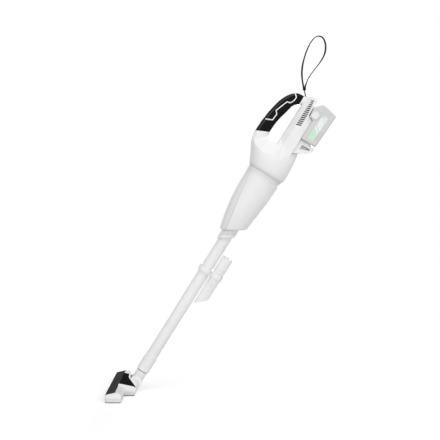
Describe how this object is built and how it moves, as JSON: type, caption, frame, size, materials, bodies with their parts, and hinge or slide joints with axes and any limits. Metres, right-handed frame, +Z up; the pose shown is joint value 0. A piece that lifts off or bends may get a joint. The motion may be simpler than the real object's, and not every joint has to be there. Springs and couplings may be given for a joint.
{
  "type": "cordless stick vacuum",
  "caption": "White cordless stick vacuum with a looped black grip, slide-on battery, dust capsule, straight tube, clipped crevice tool and tilting T-shaped floor head.",
  "frame": {"origin": "centre of the hand grip, where a hand holds it", "axes": "+Z up, +X from the floor head towards the battery along the floor, +Y sideways across the head; the stick leans at 58 degrees as in use"},
  "size_m": [0.605, 0.23, 0.9629],
  "materials": {
    "white_plastic": "satin injection-moulded ABS",
    "tube_white": "smooth extruded plastic",
    "grip_rubber": "soft-touch overmould",
    "trim_white": "inlaid line",
    "black_plastic": "fine-textured ABS",
    "button_grey": "button caps",
    "pack_grey": "pack casing",
    "latch_light": "latch buttons",
    "label_green": "plain printed panel",
    "cell_wrap": "shrink-wrapped cells",
    "frame_black": "cell frame",
    "steel": "zinc-plated steel",
    "laminations": "stacked laminations",
    "contact_brass": "contact blades",
    "board_green": "circuit board",
    "foam_grey": "open-cell foam",
    "seal_rubber": "moulded rubber",
    "filter_paper": "pleated medium",
    "filter_plastic": "filter frame",
    "strap_fabric": "woven ribbon",
    "lint_fabric": "lint pile",
    "sole_grey": "sole plate"
  },
  "bodies": {
    "body": {"casing_left": "white_plastic", "casing_right": "white_plastic", "casing_screws": "steel", "grip_left": "grip_rubber", "grip_right": "grip_rubber", "grip_trim_left": "trim_white", "grip_trim_right": "trim_white", "control_panel": "black_plastic", "switch_board": "board_green", "motor_gasket": "seal_rubber", "fan_shroud": "white_plastic", "motor_can": "steel", "motor_bearings": "steel", "stator": "laminations", "motor_rear_mount": "seal_rubber", "control_board": "board_green", "exhaust_foam": "foam_grey", "terminal_block": "black_plastic", "terminal_blades": "contact_brass", "filter_frame": "filter_plastic", "filter_pleats": "filter_paper", "strap_loop": "strap_fabric", "strap_crimp": "black_plastic", "strap_tail": "strap_fabric"},
    "rotor": {"rotor": "steel", "impeller": "frame_black"},
    "power_button": {"power_button": "button_grey"},
    "mode_button": {"mode_button": "button_grey"},
    "battery": {"pack_top": "pack_grey", "pack_base": "pack_grey", "pack_labels": "label_green", "pack_cells": "cell_wrap", "cell_frames": "frame_black"},
    "latch_left": {"pack_latch_left": "latch_light"},
    "latch_right": {"pack_latch_right": "latch_light"},
    "capsule": {"capsule_shell": "white_plastic", "capsule_ring": "white_plastic", "inlet_pipe": "white_plastic", "flap_pin": "steel"},
    "flap": {"inlet_flap": "seal_rubber"},
    "wand": {"tube": "tube_white", "tube_cuff": "white_plastic"},
    "holder": {"tool_holder": "white_plastic"},
    "crevice": {"crevice_tool": "white_plastic"},
    "neck": {"neck_pipe": "white_plastic"},
    "knuckle": {"neck_knuckle": "white_plastic", "pivot_pins": "steel"},
    "head": {"head_cover": "white_plastic", "head_panel": "black_plastic", "sole_plate": "sole_grey", "lint_strips": "lint_fabric", "sole_screws": "steel"}
  },
  "joints": [
    {"name": "rotor_spin", "type": "hinge", "parent": "body", "child": "rotor", "pos_m": [-0.00624, 0, -0.1317], "axis": [0.5299, 0, 0.848], "continuous": true},
    {"name": "power_press", "type": "slide", "parent": "body", "child": "power_button", "axis": [0.7859, 0, -0.6184], "range_m": [0, 0.0012], "stiffness_N_per_m": 900},
    {"name": "mode_press", "type": "slide", "parent": "body", "child": "mode_button", "axis": [0.7859, 0, -0.6184], "range_m": [0, 0.0012], "stiffness_N_per_m": 900},
    {"name": "battery_slide", "type": "slide", "parent": "body", "child": "battery", "axis": [0.5299, 0, 0.848], "range_m": [0, 0.115]},
    {"name": "latch_left_press", "type": "slide", "parent": "battery", "child": "latch_left", "axis": [0, 1, 0], "range_m": [0, 0.003], "stiffness_N_per_m": 1200},
    {"name": "latch_right_press", "type": "slide", "parent": "battery", "child": "latch_right", "axis": [0, -1, 0], "range_m": [0, 0.003], "stiffness_N_per_m": 1200},
    {"name": "capsule_pull", "type": "slide", "parent": "body", "child": "capsule", "axis": [-0.5299, 0, -0.848], "range_m": [0, 0.1]},
    {"name": "flap_swing", "type": "hinge", "parent": "capsule", "child": "flap", "pos_m": [-0.11175, 0, -0.2647], "axis": [0, -1, 0], "range_deg": [0, 70], "stiffness_Nm_per_rad": 0.01},
    {"name": "tube_pull", "type": "slide", "parent": "capsule", "child": "wand", "axis": [-0.5299, 0, -0.848], "range_m": [0, 0.06]},
    {"name": "holder_slide", "type": "slide", "parent": "wand", "child": "holder", "axis": [-0.5299, 0, -0.848], "range_m": [0, 0.15]},
    {"name": "crevice_lift", "type": "slide", "parent": "holder", "child": "crevice", "axis": [0.5299, 0, 0.848], "range_m": [0, 0.075]},
    {"name": "neck_pull", "type": "slide", "parent": "wand", "child": "neck", "axis": [-0.5299, 0, -0.848], "range_m": [0, 0.04]},
    {"name": "neck_swivel", "type": "hinge", "parent": "neck", "child": "knuckle", "pos_m": [-0.37061, 0, -0.71765], "axis": [0.5299, 0, 0.848], "range_deg": [-60, 60]},
    {"name": "head_tilt", "type": "hinge", "parent": "knuckle", "child": "head", "pos_m": [-0.37644, 0, -0.72698], "axis": [0, 1, 0], "range_deg": [-43, 32]}
  ]
}
